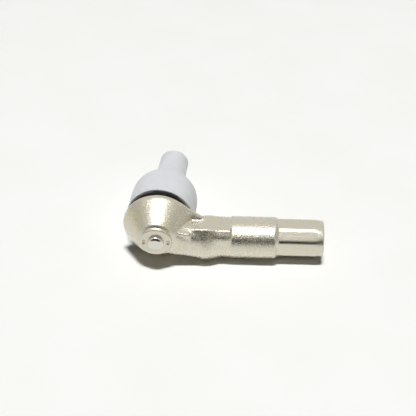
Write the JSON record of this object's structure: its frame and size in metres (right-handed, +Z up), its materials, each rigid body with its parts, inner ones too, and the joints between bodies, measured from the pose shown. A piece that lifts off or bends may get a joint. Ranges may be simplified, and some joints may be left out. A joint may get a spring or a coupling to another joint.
{
  "type": "tie rod end",
  "caption": "Steering tie rod end: forged offset arm with an internal thread and octagonal wrench section, sealed ball joint with tapered threaded stud, rubber boot and plastic transport cap.",
  "frame": {"origin": "centre of the outline's underside, on the surface that the part lies on", "axes": "+X along the arm's thread axis towards its open end, +Y along the ball joint's axis towards the stud, +Z up as the part lies on its side"},
  "size_m": [0.1182, 0.0891, 0.0416],
  "materials": {
    "zinc_plated_steel": "bright zinc plating with a faint warm passivation over a forged surface",
    "polished_steel": "smooth plated",
    "acetal": "moulded, natural white",
    "phosphated_steel": "dark phosphate",
    "ground_steel": "ground ball, rolled thread",
    "chloroprene": "moulded black rubber",
    "spring_wire": "drawn wire",
    "polyethylene": "milky translucent blown polyethylene"
  },
  "bodies": {
    "housing": {"housing": "zinc_plated_steel", "bottom_plug": "polished_steel", "lower_seat": "acetal", "upper_seat": "acetal", "closing_ring": "phosphated_steel", "boot_lower_clamp": "spring_wire"},
    "boot": {"boot": "chloroprene"},
    "boot_top": {"boot_upper_clamp": "spring_wire", "boot_lip_insert": "phosphated_steel"},
    "stud": {"ball_stud": "ground_steel"},
    "cap": {"protective_cap": "polyethylene"}
  },
  "joints": [
    {"name": "swing_side", "type": "hinge", "parent": "housing", "child": "boot", "pos_m": [-0.0383, -0.02654, 0.0208], "axis": [0, 0, 1], "range_deg": [-5, 12], "deforming": ["boot"]},
    {"name": "swing_up", "type": "hinge", "parent": "boot", "child": "boot_top", "pos_m": [-0.0383, -0.02654, 0.0208], "axis": [0.9978, -0.0663, 0], "range_deg": [-7, 10], "deforming": ["boot"]},
    {"name": "stud_spin", "type": "hinge", "parent": "boot_top", "child": "stud", "pos_m": [-0.0383, -0.02654, 0.0208], "axis": [0.0663, 0.9975, -0.0227], "continuous": true},
    {"name": "cap_pull", "type": "slide", "parent": "stud", "child": "cap", "axis": [0.0663, 0.9975, -0.0227], "range_m": [0, 0.08]}
  ]
}
